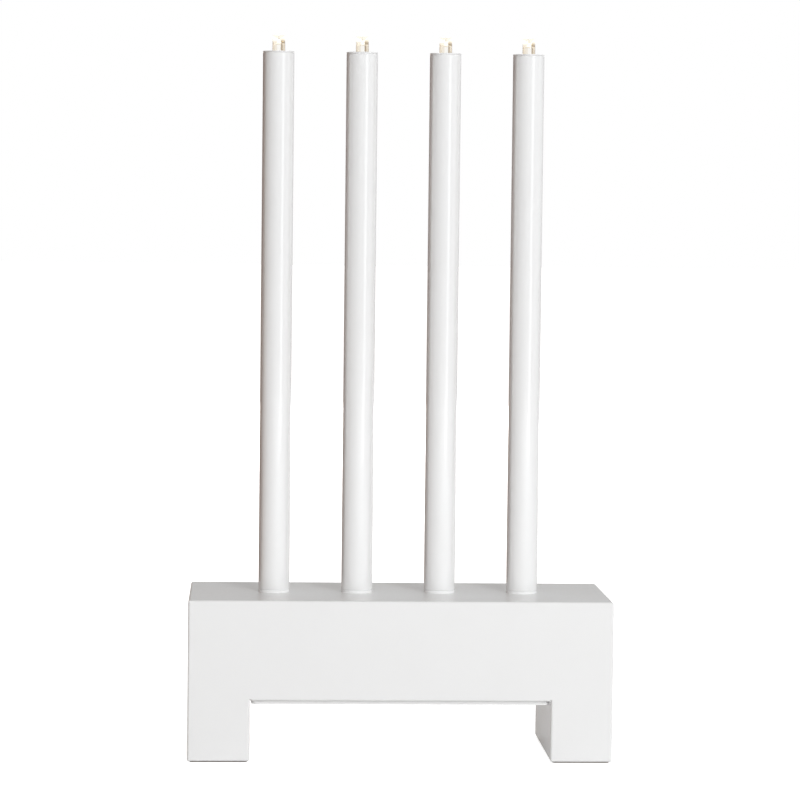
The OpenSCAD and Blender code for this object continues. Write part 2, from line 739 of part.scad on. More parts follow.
// Chip in a flat package, with bent legs along its two long sides
module timer_chip() {
    foot_y = chip_w / 2 + chip_leg_reach - chip_foot_l;
    mid_z = pcb_top_z + chip_t / 2;
    color("dimgray") translate([chip_x, chip_y, 0]) {
        block([-chip_l / 2, -chip_w / 2, pcb_top_z + chip_lift],
              [chip_l / 2, chip_w / 2, pcb_top_z + chip_t]);
        for (k = [0:chip_legs - 1], side = [0, 1]) mirror([0, side, 0])
            translate([(k - (chip_legs - 1) / 2) * chip_leg_pitch - chip_leg_w / 2, 0, 0])
                rotate([90, 0, 90]) linear_extrude(chip_leg_w) polygon([
                    [chip_w / 2 - chip_leg_t, mid_z - chip_leg_t], [foot_y - chip_leg_t, mid_z - chip_leg_t],
                    [foot_y - chip_leg_t, pcb_top_z], [foot_y + chip_foot_l, pcb_top_z],
                    [foot_y + chip_foot_l, pcb_top_z + chip_leg_t], [foot_y, pcb_top_z + chip_leg_t],
                    [foot_y, mid_z], [chip_w / 2 - chip_leg_t, mid_z]]);
    }
}

// One resistor for each lamp, in line with the red wire of that lamp
module lamp_resistors() {
    axis_z = pcb_top_z + resistor_d / 2 + chip_lift;
    leg_dx = resistor_l - (resistor_d + resistor_lead_d) / 2;
    color("burlywood") for (i = candles) translate([resistor_x, -lane_y(i), 0]) {
        translate([0, 0, axis_z]) rotate([0, 90, 0]) {
            cylinder(d = resistor_d, h = resistor_l, center = true);
            cylinder(d = resistor_lead_d, h = 2 * resistor_l - resistor_d, center = true);
        }
        for (end = [-1, 1]) translate([end * leg_dx, 0, pcb_top_z])
            cylinder(d = resistor_lead_d, h = axis_z - pcb_top_z + resistor_lead_d / 2);
    }
}

// The corners of a route, each rounded by a curve that leaves both legs smoothly
function rounded_route(p, r) = concat([p[0]],
    [for (i = [1:len(p) - 2], k = [0:wire_bend_steps])
        let (s = k / wire_bend_steps,
             a = p[i] + r * unit(p[i - 1] - p[i]), b = p[i] + r * unit(p[i + 1] - p[i]))
        (1 - s) * (1 - s) * a + 2 * s * (1 - s) * p[i] + s * s * b],
    [p[len(p) - 1]]);

// side is -1 for the red wires and 1 for the black ones
function lamp_route(i, side) = let (x = candle_x(i) + side * lead_pitch / 2, y = side * lane_y(i))
    [[x, 0, lead_end_z], [x, 0, run_z], [x, y, run_z], [pad_x, y, run_z], [pad_x, y, pcb_top_z]];
function battery_route(side) = let (y = side * cell_y)
    [[bay_x1, y, battery_wire_z], [battery_pad_x, y, battery_wire_z], [battery_pad_x, y, pcb_top_z]];

module wires(side) {
    for (i = candles) bar_along(rounded_route(lamp_route(i, side), wire_bend_r), wire_d, wire_sides);
    bar_along(rounded_route(battery_route(side), wire_bend_r), wire_d, wire_sides);
}

face_board(-1);  // front_board
face_board(1);  // back_board
top_board();
end_board(-1);  // left_end_board
end_board(1);  // right_end_board
foot_block(-1);  // left_foot_block
foot_block(1);  // right_foot_block
felt_pad(-1);  // left_felt_pad
felt_pad(1);  // right_felt_pad
for (i = candles) {
    tube(i);
    tube_foot(i);
    lamp_cap(i);
    lamp_lens(i);
    lamp_lead_frame(i);
}
tube_nuts();
tube_washers();
bottom_cover();
cover_screws();
battery_lid();
cell(-1, 1);  // front_cell
cell(1, -1);  // rear_cell
bridge_contact();
positive_contact();
negative_contact();
contact_spring(-1);  // front_spring
contact_spring(1);  // rear_spring
switch_housing();
switch_knob();
control_board();
timer_chip();
lamp_resistors();
board_screws();
color("firebrick") wires(-1);  // red_wires
color("black") wires(1);  // black_wires
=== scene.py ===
import math
import bpy
import numpy as np
from mathutils import Matrix, Vector


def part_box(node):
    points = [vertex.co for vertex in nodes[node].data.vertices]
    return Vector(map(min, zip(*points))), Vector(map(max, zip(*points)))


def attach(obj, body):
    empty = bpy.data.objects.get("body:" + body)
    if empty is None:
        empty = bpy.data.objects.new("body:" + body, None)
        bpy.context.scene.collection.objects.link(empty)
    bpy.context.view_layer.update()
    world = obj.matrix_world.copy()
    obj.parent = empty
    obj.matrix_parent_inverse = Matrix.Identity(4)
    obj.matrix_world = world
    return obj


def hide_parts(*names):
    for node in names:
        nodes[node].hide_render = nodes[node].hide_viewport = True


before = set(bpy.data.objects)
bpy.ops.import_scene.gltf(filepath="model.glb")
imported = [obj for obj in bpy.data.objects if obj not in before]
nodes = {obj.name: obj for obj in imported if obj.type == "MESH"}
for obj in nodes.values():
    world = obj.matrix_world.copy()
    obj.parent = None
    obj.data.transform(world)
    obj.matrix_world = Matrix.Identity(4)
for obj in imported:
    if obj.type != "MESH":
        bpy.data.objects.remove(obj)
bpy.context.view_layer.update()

mm = 0.001
candles = [1, 2, 3, 4]
scene = bpy.context.scene
scene.view_settings.view_transform = "Standard"


# Camera, at the angle of the photograph

cameraSet = {
    "place": (-0.05931, -1.15431, 0.20191),
    "down": 3.269,          # degrees below the horizon
    "right": 2.939,         # degrees to the right of straight ahead
    "roll": 0.644,
    "lens": 135.0,
    "sensor": 36.0,
}


# The view is turned right and then down from straight ahead, and the picture is rolled about it
def makeCamera(given):
    down, right, roll = (math.radians(given[key]) for key in ("down", "right", "roll"))
    ahead = Vector((math.sin(right) * math.cos(down), math.cos(right) * math.cos(down), -math.sin(down)))
    level = Vector((math.cos(right), -math.sin(right), 0))
    upright = level.cross(ahead)
    side = level * math.cos(roll) + upright * math.sin(roll)
    top = upright * math.cos(roll) - level * math.sin(roll)
    data = bpy.data.cameras.new("photo_camera")
    data.lens = given["lens"]
    data.sensor_width = given["sensor"]
    camera = bpy.data.objects.new("photo_camera", data)
    turn = Matrix((side, top, -ahead)).transposed().to_4x4()
    camera.matrix_world = Matrix.Translation(given["place"]) @ turn
    scene.collection.objects.link(camera)
    scene.camera = camera


makeCamera(cameraSet)
print("camera ready")


# Shader maths: a Value is one socket, and sums and products of values add Math nodes

class Value:
    def __init__(self, sheet, socket):
        self.sheet = sheet
        self.socket = socket

    def maths(self, operation, first, second=0.0):
        return self.sheet.node("ShaderNodeMath", {"operation": operation}, {0: first, 1: second})

    def __add__(self, other):
        return self.maths("ADD", self, other)

    def __radd__(self, other):
        return self.maths("ADD", other, self)

    def __sub__(self, other):
        return self.maths("SUBTRACT", self, other)

    def __rsub__(self, other):
        return self.maths("SUBTRACT", other, self)

    def __mul__(self, other):
        return self.maths("MULTIPLY", self, other)

    def __rmul__(self, other):
        return self.maths("MULTIPLY", other, self)

    def __truediv__(self, other):
        return self.maths("DIVIDE", self, other)

    def __rtruediv__(self, other):
        return self.maths("DIVIDE", other, self)

    def __pow__(self, other):
        return self.maths("POWER", self, other)

    def __rpow__(self, other):
        return self.maths("POWER", other, self)

    def __abs__(self):
        return self.maths("ABSOLUTE", self)

    def __gt__(self, other):
        return self.maths("GREATER_THAN", self, other)

    def __lt__(self, other):
        return self.maths("LESS_THAN", self, other)


# A node tree; node() takes a type, its settings, which are set first, and its sockets' values or links
class Sheet:
    def __init__(self, tree):
        self.tree = tree

    def node(self, kind, settings=None, sockets=None, out=0):
        made = self.tree.nodes.new(kind)
        for key, value in (settings or {}).items():
            setattr(made, key, value)
        for key, value in (sockets or {}).items():
            self.feed(made.inputs[key], value)
        return Value(self, made.outputs[out])

    def feed(self, socket, value):
        if isinstance(value, Value):
            self.tree.links.new(value.socket, socket)
        else:
            socket.default_value = value

    # Further outputs of the node that a value comes from
    def outputs(self, value, keys):
        return [Value(self, value.socket.node.outputs[key]) for key in keys]

    def axes(self, vector):
        return self.outputs(self.node("ShaderNodeSeparateXYZ", None, {0: vector}), range(3))

    # Noise from 0 to 1 with lumps of about the given size
    def noise(self, place, size, detail=3, rough=0.5):
        return self.node("ShaderNodeTexNoise", None,
                         {"Vector": place, "Scale": 1 / size, "Detail": detail, "Roughness": rough})

    def cells(self, place, size, feature):
        return self.node("ShaderNodeTexVoronoi", {"feature": feature}, {"Vector": place, "Scale": 1 / size})

    def stretch(self, place, scale):
        return self.node("ShaderNodeVectorMath", {"operation": "MULTIPLY"}, {0: place, 1: scale})

    # 0 below low, 1 above high, and a smooth step between them
    def step(self, value, low, high):
        return self.node("ShaderNodeMapRange", {"interpolation_type": "SMOOTHSTEP"},
                         {"Value": value, "From Min": low, "From Max": high})

    # The first colour at share 0 and the second at share 1
    def blend(self, share, first, second):
        return self.node("ShaderNodeMix", {"data_type": "RGBA"}, {0: share, 6: first, 7: second}, 2)

    # A surface that stands out by height * depth, on top of the bump before it
    def bump(self, height, depth, before=None):
        sockets = {"Height": height, "Distance": depth, "Strength": 1.0}
        if before is not None:
            sockets["Normal"] = before
        return self.node("ShaderNodeBump", None, sockets)


socketNames = {
    "color": "Base Color",
    "roughness": "Roughness",
    "metallic": "Metallic",
    "specular": "Specular IOR Level",
    "ior": "IOR",
    "transmission": "Transmission Weight",
    "coat": "Coat Weight",
    "coatRoughness": "Coat Roughness",
    "coatBend": "Coat IOR",
    "sheen": "Sheen Weight",
    "glow": "Emission Color",
    "glowStrength": "Emission Strength",
    "bump": "Normal",
}


# A material with its principled shader
class Finish(Sheet):
    def __init__(self, name):
        self.material = bpy.data.materials.new(name)
        self.material.use_nodes = True
        super().__init__(self.material.node_tree)
        self.shader = self.tree.nodes["Principled BSDF"]
        self.place = self.node("ShaderNodeTexCoord", None, None, "Object")

    def finish(self, **sockets):
        for key, value in sockets.items():
            self.feed(self.shader.inputs[socketNames[key]], value)
        return self.material


# A gray with the given share of red added and of blue taken away
def gray(level, warmth=0.0):
    return (level * (1 + warmth), level, level * (1 - warmth), 1)


# A roughness that varies evenly about its middle with a pattern that runs from 0 to 1
def spreadAbout(middleValue, spread, pattern):
    return middleValue - spread / 2 + pattern * spread


# Painted board, tubes and tube feet: an even white coat with a fine grain and a slow waviness; the feet's
# coat is lighter, painted light on the collars

paintSet = {
    "board": {"color": gray(0.83, 0.003), "shade": gray(0.80, 0.006), "roughness": 0.24, "shine": 0.5,
              "lacquer": 0.0, "grain": 0.9 * mm, "grainDepth": 0.012 * mm},
    "tube": {"color": gray(0.85, 0.001), "shade": gray(0.82, 0.004), "roughness": 0.35, "shine": 0.15,
             "lacquer": 1.0, "grain": 1.4 * mm, "grainDepth": 0.006 * mm},
    # the feet: the tubes' paint made lighter, painted light that stands in for light thrown up onto the
    # collars from the white top
    "foot": {"color": gray(0.93, 0.001), "shade": gray(0.90, 0.002), "roughness": 0.35, "shine": 0.15,
             "lacquer": 1.0, "grain": 1.4 * mm, "grainDepth": 0.006 * mm},
    "lacquerRoughness": 0.10,   # clear lacquer over the paint of the tubes and their feet
    "lacquerBend": 2.0,
    "wave": 22 * mm,
    "waveDepth": 0.05 * mm,
    "waveShare": 0.7,           # of the shade, and the rest of it comes from the grain
    "roughnessSpread": 0.08,
}


def paintFinish(name, coat, given):
    m = Finish(name)
    slow = m.noise(m.place, given["wave"], detail=2)
    fine = m.noise(m.place, coat["grain"], detail=4, rough=0.6)
    waves = m.bump(slow, given["waveDepth"])
    shaded = slow * given["waveShare"] + fine * (1 - given["waveShare"])
    return m.finish(color=m.blend(shaded, coat["color"], coat["shade"]),
                    roughness=spreadAbout(coat["roughness"], given["roughnessSpread"], fine),
                    specular=coat["shine"], coat=coat["lacquer"],
                    coatRoughness=given["lacquerRoughness"], coatBend=given["lacquerBend"],
                    bump=m.bump(fine, coat["grainDepth"], waves))


boardPaint = paintFinish("board_paint", paintSet["board"], paintSet)
tubePaint = paintFinish("tube_paint", paintSet["tube"], paintSet)
footPaintWithPaintedLight = paintFinish("foot_paint", paintSet["foot"], paintSet)


# Moulded plastics: a fine sparkle from the mould, and slow flow marks

plasticSet = {
    # the cover: white plastic whose colour is also lifted so that its front edge, in shade under the beam,
    # renders brighter, partly painted light; the battery lid shares it
    "cover": {"color": gray(0.86, 0.004), "shade": gray(0.83, 0.006), "roughness": 0.5,
              "sparkDepth": 0.02 * mm},
    "cap": {"color": gray(0.82, 0.004), "shade": gray(0.77, 0.006), "roughness": 0.28,
            "sparkDepth": 0.005 * mm},
    "knob": {"color": gray(0.022), "shade": gray(0.05), "roughness": 0.45, "sparkDepth": 0.02 * mm},
    "spark": 0.35 * mm,
    "flow": 21 * mm,
    "flowShare": 0.6,           # of the shade, and the rest of it comes from the sparkle
    "roughnessSpread": 0.12,
}


def mouldedFinish(name, plastic, given):
    m = Finish(name)
    spark = m.noise(m.place, given["spark"], detail=3, rough=0.7)
    flow = m.noise(m.place, given["flow"], detail=2)
    shaded = flow * given["flowShare"] + spark * (1 - given["flowShare"])
    return m.finish(color=m.blend(shaded, plastic["color"], plastic["shade"]),
                    roughness=spreadAbout(plastic["roughness"], given["roughnessSpread"], spark),
                    bump=m.bump(spark, plastic["sparkDepth"]))


coverPlasticWithPaintedLight = mouldedFinish("cover_plastic", plasticSet["cover"], plasticSet)
capPlastic = mouldedFinish("cap_plastic", plasticSet["cap"], plasticSet)
knobPlastic = mouldedFinish("knob_plastic", plasticSet["knob"], plasticSet)


# Bare metals: a base colour, its darker patches, and fine marks of drawing or stamping

metalSet = {
    "tinned": {"color": (0.62, 0.62, 0.60, 1), "dark": (0.46, 0.46, 0.45, 1), "roughness": 0.34,
               "grain": 0.25 * mm, "drawn": (1, 1, 0.2), "glow": gray(0.0)},
    # the silvered leads carry painted light: an emission that stands in for the lamp's light falling on
    # them
    "silvered": {"color": (0.93, 0.91, 0.88, 1), "dark": (0.84, 0.82, 0.78, 1), "roughness": 0.45,
                 "grain": 0.2 * mm, "drawn": (1, 1, 0.2),
                 "glow": (0.34, 0.30, 0.24, 1)},        # the leads in a lamp shine in its own light
    "nickel": {"color": (0.66, 0.64, 0.60, 1), "dark": (0.50, 0.48, 0.44, 1), "roughness": 0.28,
               "grain": 0.3 * mm, "drawn": (1, 0.25, 1), "glow": gray(0.0)},
    "zinc": {"color": (0.58, 0.60, 0.63, 1), "dark": (0.42, 0.44, 0.47, 1), "roughness": 0.36,
             "grain": 0.5 * mm, "drawn": (1, 1, 1), "glow": gray(0.0)},
    "gold": {"color": (0.85, 0.62, 0.25, 1), "dark": (0.70, 0.48, 0.18, 1), "roughness": 0.25,
             "grain": 0.1 * mm, "drawn": (1, 1, 1), "glow": gray(0.0)},
    "patchGrains": 9,           # size of the darker patches, in grains
    "markDepth": 0.025,         # depth of the marks, in grains
    "roughnessSpread": 0.16,
}


def metalFinish(name, metal, given):
    m = Finish(name)
    marks = m.noise(m.stretch(m.place, metal["drawn"]), metal["grain"], detail=4, rough=0.6)
    patches = m.noise(m.place, metal["grain"] * given["patchGrains"], detail=3)
    # the glow is painted light, used only on the leads inside a lamp
    return m.finish(color=m.blend(patches, metal["color"], metal["dark"]), metallic=1.0,
                    glow=metal["glow"], glowStrength=1.0,
                    roughness=spreadAbout(metal["roughness"], given["roughnessSpread"], marks),
                    bump=m.bump(marks, metal["grain"] * given["markDepth"]))


tinned = metalFinish("tinned_metal", metalSet["tinned"], metalSet)
silvered = metalFinish("silvered_lead_painted_glow", metalSet["silvered"], metalSet)
nickel = metalFinish("nickel_sheet", metalSet["nickel"], metalSet)
zinc = metalFinish("zinc_plating", metalSet["zinc"], metalSet)
gold = metalFinish("gold_wire", metalSet["gold"], metalSet)
bareTin = metalSet["tinned"]["color"]       # for the tinned ends of wires and of electronic parts
print("paints, plastics and metals ready")


# Surfaces as whole arrays

tiny = 1e-9     # a point of a profile that is nearer to the axis than this is a pole


# Vectors over their own lengths
def unit(v):
    return v / np.linalg.norm(v, axis=-1, keepdims=True)


# Each corner of a flat outline becomes an arc that touches both of its edges: the arc's centre lies on the
# bisector at radius / sin(half angle), and its points turn evenly from one touching point to the other.
# Returns the points and their outward normals, the direction of travel turned right.
def roundCorners(corners, radii, closed=False, steps=6):
    p = np.array(corners, float)
    before = unit(np.roll(p, 1, 0) - p)
    after = unit(np.roll(p, -1, 0) - p)
    half = np.arccos(np.clip((before * after).sum(1), -1, 1))[:, None] / 2
    r = np.broadcast_to(np.array(radii, float), len(p))[:, None]
    centre = p + unit(before + after) * r / np.sin(half)
    start = p + before * r / np.tan(half) - centre
    end = p + after * r / np.tan(half) - centre
    sweep = (np.pi - 2 * half)[:, None]
    s = np.linspace(0, 1, steps + 1)[None, :, None]
    first, last = np.sin((1 - s) * sweep) / np.sin(sweep), np.sin(s * sweep) / np.sin(sweep)
    points = centre[:, None] + first * start[:, None] + last * end[:, None]
    travel = first * -before[:, None] + last * after[:, None]
    normals = np.stack([travel[..., 1], -travel[..., 0]], -1)
    if closed:
        return points.reshape(-1, 2), normals.reshape(-1, 2)
    ends = np.stack([after[0], -before[-1]])
    endNormals = np.stack([ends[:, 1], -ends[:, 0]], 1)
    return (np.concatenate([p[:1], points[1:-1].reshape(-1, 2), p[-1:]]),
            np.concatenate([endNormals[:1], normals[1:-1].reshape(-1, 2), endNormals[1:]]))


# Faces between neighbouring rows of vertex numbers; a row of one repeated number closes as a fan
def gridFaces(numbers):
    a, b, c, d = numbers[:-1, :-1], numbers[:-1, 1:], numbers[1:, 1:], numbers[1:, :-1]
    low, high = a == b, c == d
    quads = np.stack([a, b, c, d], -1)[~low & ~high]
    return (quads.tolist() + np.stack([a, c, d], -1)[low].tolist()
            + np.stack([a, b, c], -1)[high].tolist())


# Grid of rows and columns, closed round the columns; rows marked as poles hold one point each
def closedGrid(points, normals, poles, loop=False):
    columns = points.shape[1]
    first = np.concatenate([[0], np.cumsum(np.where(poles, 1, columns))[:-1]])
    numbers = first[:, None] + np.where(poles[:, None], 0, np.arange(columns))
    numbers = np.concatenate([numbers, numbers[:, :1]], 1)
    if loop:
        numbers = np.concatenate([numbers, numbers[:1]])
    keep = ~poles[:, None] | (np.arange(columns) == 0)
    return points[keep], normals[keep], gridFaces(numbers)


# A profile of (radius, height) turned about an axis: the point at turn a is radius * (cos a, sin a)
# across the axis and height along it. frame3 holds the two directions across and the one along.
def revolve(profile, normal, centre, columns, frame3=np.eye(3), loop=False):
    turn = np.linspace(0, 2 * np.pi, columns, endpoint=False)
    ring = np.stack([np.cos(turn), np.sin(turn)], 1)[None]
    wide = np.ones((1, columns, 1))
    local = np.concatenate([profile[:, None, :1] * ring, profile[:, None, 1:] * wide], 2)
    outward = np.concatenate([normal[:, None, :1] * ring, normal[:, None, 1:] * wide], 2)
    poles = profile[:, 0] < tiny
    return closedGrid(local @ frame3 + np.array(centre), outward @ frame3, poles, loop)


# A round bar along a path: the point at turn a is path + radius * (n cos a + b sin a), where n is a fixed
# direction less its part along the path, and b is square to both. Both ends close at a pole.
def barAlong(path, radius, columns, lean=(0.52, 0.61, 0.6)):
    tangent = unit(np.gradient(path, axis=0))
    n = unit(np.array(lean) - (tangent @ np.array(lean))[:, None] * tangent)
    b = np.cross(tangent, n)
    turn = np.linspace(0, 2 * np.pi, columns, endpoint=False)[None, :, None]
    outward = n[:, None] * np.cos(turn) + b[:, None] * np.sin(turn)
    points = path[:, None] + radius * outward
    flat = np.ones((1, columns, 1))
    points = np.concatenate([path[:1, None] * flat, points, path[-1:, None] * flat])
    outward = np.concatenate([-tangent[:1, None] * flat, outward, tangent[-1:, None] * flat])
    poles = np.array([True] + [False] * len(path) + [True])
    return closedGrid(points, outward, poles)


# A route through corner points, each corner replaced by a curve (1-s)^2 a + 2s(1-s) p + s^2 b
def roundRoute(corners, radius, steps=8):
    p = np.array(corners, float)
    a = p[1:-1] + radius * unit(p[:-2] - p[1:-1])
    b = p[1:-1] + radius * unit(p[2:] - p[1:-1])
    s = np.linspace(0, 1, steps + 1)[None, :, None]
    bends = (1 - s) ** 2 * a[:, None] + 2 * s * (1 - s) * p[1:-1, None] + s ** 2 * b[:, None]
    return np.concatenate([p[:1], bends.reshape(-1, 3), p[-1:]])


# A flat outline in X and Z pushed out to both sides of y = 0, as one closed plate
def plate(outline, depth):
    flat = np.array(outline, float)
    count = len(flat)
    front = np.insert(flat, 1, -depth / 2, 1)
    back = np.insert(flat, 1, depth / 2, 1)
    k = np.arange(count)
    sides = np.stack([k, (k + 1) % count, (k + 1) % count + count, k + count], 1)
    faces = sides[:, ::-1].tolist() + [k.tolist(), (k[::-1] + count).tolist()]
    return np.concatenate([front, back]), faces


# Points, their normals and faces become a mesh, and the mesh a piece that rides a body and fills a slot.
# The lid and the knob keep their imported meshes, so every new piece rides the holder.
def putPiece(name, shape, material, replaces=(), body="holder"):
    points, normals, faces = shape
    mesh = bpy.data.meshes.new(name)
    mesh.from_pydata(points.tolist(), [], faces)
    mesh.polygons.foreach_set("use_smooth", np.ones(len(mesh.polygons), bool))
    mesh.update()
    if normals is not None:
        mesh.normals_split_custom_set_from_vertices(normals.tolist())
    mesh.materials.append(material)
    piece = bpy.data.objects.new(name, mesh)
    scene.collection.objects.link(piece)
    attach(piece, body)
    if replaces:
        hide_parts(*replaces)
    return piece


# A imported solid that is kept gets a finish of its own
def dress(name, material):
    nodes[name].data.materials.clear()
    nodes[name].data.materials.append(material)


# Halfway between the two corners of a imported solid's box
def middle(name):
    low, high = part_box(name)
    return np.array((low + high) / 2)


# Candle tubes: the section of a hollow wall with its four edges rounded, turned about the tube's axis

tubeSet = {
    "wall": 1.0 * mm,
    "outerEdge": 0.25 * mm,
    "innerEdge": 0.15 * mm,
    "columns": 128,             # round the tube
}


def makeTube(i, given):
    low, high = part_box(f"tube_{i}")
    outer, length = (high.x - low.x) / 2, high.z - low.z
    inner = outer - given["wall"]
    edges = [given[key] for key in ("innerEdge", "outerEdge", "outerEdge", "innerEdge")]
    profile, normal = roundCorners([(inner, 0), (outer, 0), (outer, length), (inner, length)], edges,
                                   closed=True)
    foot = middle(f"tube_{i}") - (0, 0, length / 2)
    putPiece(f"candle_tube_{i}", revolve(profile, normal, foot, given["columns"], loop=True), tubePaint,
             [f"tube_{i}"])


for i in candles:
    makeTube(i, tubeSet)
    dress(f"tube_foot_{i}", footPaintWithPaintedLight)
    dress(f"lamp_cap_{i}", capPlastic)
print("tubes ready")


# Clear lamps: a flange, a slightly tapered body, a rounded rim and a cone-shaped hollow in the top,
# as one outline turned about the lamp's axis

lampSet = {
    "bodyRadius": 2.5 * mm,
    "rimRadius": 2.4 * mm,
    "flangeHeight": 1.0 * mm,
    "hollowRadius": 1.95 * mm,
    "hollowDepth": 1.9 * mm,
    "tipRadius": 0.125 * mm,    # the tip of the hollow is a small flat disc, so that it stays round
    "flangeRound": 0.12 * mm,
    "fillet": 0.06 * mm,
    "rimRound": 0.21 * mm,
    "lipRound": 0.1 * mm,
    "columns": 96,
    "resin": (0.99, 0.97, 0.92, 1),
    "bend": 1.53,               # index of refraction
    "roughness": 0.015,         # of the clearest resin
    "swirlRoughness": 0.03,
    "swirl": 1.6 * mm,
    "swirlDepth": 0.012 * mm,
    # painted light: the clear body glows towards its top, standing in for the lamp's light reflected in the
    # hollow
    "glow": (1.0, 0.95, 0.84, 1),
    "paintedGlowFoot": 5.9 * mm,       # the light inside fades in from this height up
    "paintedGlowFull": 7.9 * mm,
    "glowStrength": 0.44,
}


def resinFinish(given):
    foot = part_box("lamp_lens_1")[0].z
    m = Finish("clear_resin_with_painted_glow")
    swirl = m.noise(m.place, given["swirl"], detail=2)
    height = m.axes(m.place)[2]
    # painted light: a glow that fades in towards the top of the clear body
    lit = m.step(height, foot + given["paintedGlowFoot"], foot + given["paintedGlowFull"])
    return m.finish(color=given["resin"], roughness=given["roughness"] + swirl * given["swirlRoughness"],
                    ior=given["bend"], transmission=1.0, bump=m.bump(swirl, given["swirlDepth"]),
                    glow=m.blend(lit, gray(0.0), given["glow"]), glowStrength=given["glowStrength"])


resin = resinFinish(lampSet)


def makeLamp(i, given):
    low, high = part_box(f"lamp_lens_{i}")
    flange, height = (high.y - low.y) / 2, high.z - low.z
    body, tip, floor = given["bodyRadius"], given["tipRadius"], height - given["hollowDepth"]
    edge = given["flangeRound"]
    profile, normal = roundCorners(
        [(0, 0), (flange, 0), (flange, given["flangeHeight"]), (body, given["flangeHeight"]),
         (given["rimRadius"], height), (given["hollowRadius"], height), (tip, floor), (0, floor)],
        [0, edge, edge, given["fillet"], given["rimRound"], given["lipRound"], tip, 0])
    profile[-1, 0] = 0      # exactly on the axis, so that it closes at one point
    points, normals, faces = revolve(profile, normal, (0, 0, 0), given["columns"])
    flat = points[:, 0] > body      # the flange is cut flat on the side of one lead
    upright = np.abs(normals[:, 2]) < 0.5       # its wall, not its two faces
    points[flat, 0] = body
    normals[flat & upright] = (1, 0, 0)
    points += (middle(f"tube_{i}")[0], 0, low.z)
    putPiece(f"clear_lamp_{i}", (points, normals, faces), resin, [f"lamp_lens_{i}"])


for i in candles:
    makeLamp(i, lampSet)


# Inside a lamp: stamped anvil with its cup, post and two leads, the lit dome in the cup and its hair wire

emitterSet = {
    "leadPitch": 2.54 * mm,
    "lead": 0.5 * mm,
    "rise": 1.4 * mm,           # how far the anvil stands over the lead frame's own box
    "armHeight": 0.8 * mm,
    "anvilDepth": 0.9 * mm,
    "postWidth": 0.7 * mm,
    "postDrop": 0.5 * mm,
    "cupRadius": 0.42 * mm,
    "cupFloor": 0.55,           # radius of the cup's floor, as a share of its mouth's
    "cupWall": 0.14 * mm,
    "cupDepth": 0.35 * mm,
    "cupHeight": 0.9 * mm,
    "bevel": 0.05 * mm,
    "bevelSegments": 2,
    "domeRadius": 0.8,          # this and the next two as shares of the cup's radius
    "domeHeight": 0.45,
    "domeFoot": 0.7,
    "domeDrop": 0.05 * mm,      # below the cup's mouth
    "domeColumns": 40,
    "domeRings": 13,
    "hairRadius": 0.03 * mm,
    "hairStart": 0.15,          # share of the half ellipse that lies hidden in the dome
    "hairRise": 1.9,            # height of the half ellipse, in drops of the post
    "hairColumns": 8,
    "hairRings": 17,
    "phosphor": (0.9, 0.7, 0.25, 1),
    "phosphorRoughness": 0.5,
    "speck": 0.08 * mm,
    "speckDepth": 0.01 * mm,
    "speckFrom": 0.35,
    "speckFull": 0.7,
    "light": (1.0, 0.80, 0.42, 1),
    "lightCore": (1.0, 0.93, 0.72, 1),
    "lightStrength": 9.0,
}


# Bevelled edges on a flat-sided piece, with faces that still shade flat
def bevelled(piece, given):
    bevel = piece.modifiers.new("edges", "BEVEL")
    bevel.width = given["bevel"]
    bevel.segments = given["bevelSegments"]
    bevel.limit_method = "ANGLE"
    piece.modifiers.new("normals", "WEIGHTED_NORMAL")


def glowFinish(given):
    m = Finish("warm_phosphor")
    speck = m.noise(m.place, given["speck"], detail=3)
    core = m.step(speck, given["speckFrom"], given["speckFull"])
    return m.finish(color=given["phosphor"], roughness=given["phosphorRoughness"],
                    glow=m.blend(core, given["light"], given["lightCore"]),
                    glowStrength=given["lightStrength"], bump=m.bump(speck, given["speckDepth"]))


phosphor = glowFinish(emitterSet)


# Anvil and post are flat outlines with depth; axis is the lamp's place in X and top is the anvil's top
def makeLeads(i, axis, top, given):
    half, lead = given["leadPitch"] / 2, given["lead"] / 2
    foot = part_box(f"lamp_lead_frame_{i}")[0].z
    hip, postTop = top - given["armHeight"], top - given["postDrop"]
    cup, cupFloor, cupFoot = given["cupRadius"], top - given["cupDepth"], top - given["cupHeight"]
    bowl, base = cup + given["cupWall"], cup * given["cupFloor"]
    anvil = [(-half - lead, foot), (-half + lead, foot), (-half + lead, hip - lead), (-bowl, hip),
             (-base, cupFoot), (base, cupFoot), (bowl, hip), (bowl, top), (cup, top), (base, cupFloor),
             (-base, cupFloor), (-cup, top), (-half - lead, top)]
    postInner = half + lead - given["postWidth"]
    post = [(half - lead, foot), (half + lead, foot), (half + lead, postTop), (postInner, postTop),
            (postInner, hip), (half - lead, hip - lead)]
    for name, outline, depth, replaces in (("anvil", anvil, given["anvilDepth"], [f"lamp_lead_frame_{i}"]),
                                           ("post", post, given["lead"], ())):
        points, faces = plate(outline, depth)
        # leads are as deep as they are wide, and only what is above them has the full depth
        legs = points[:, 2] < cupFoot - lead / 2
        points[legs, 1] = np.sign(points[legs, 1]) * lead
        points[:, 0] += axis
        piece = putPiece(f"lamp_{name}_{i}", (points, None, faces), silvered, replaces)
        piece.data.polygons.foreach_set("use_smooth", np.zeros(len(faces), bool))
        bevelled(piece, given)


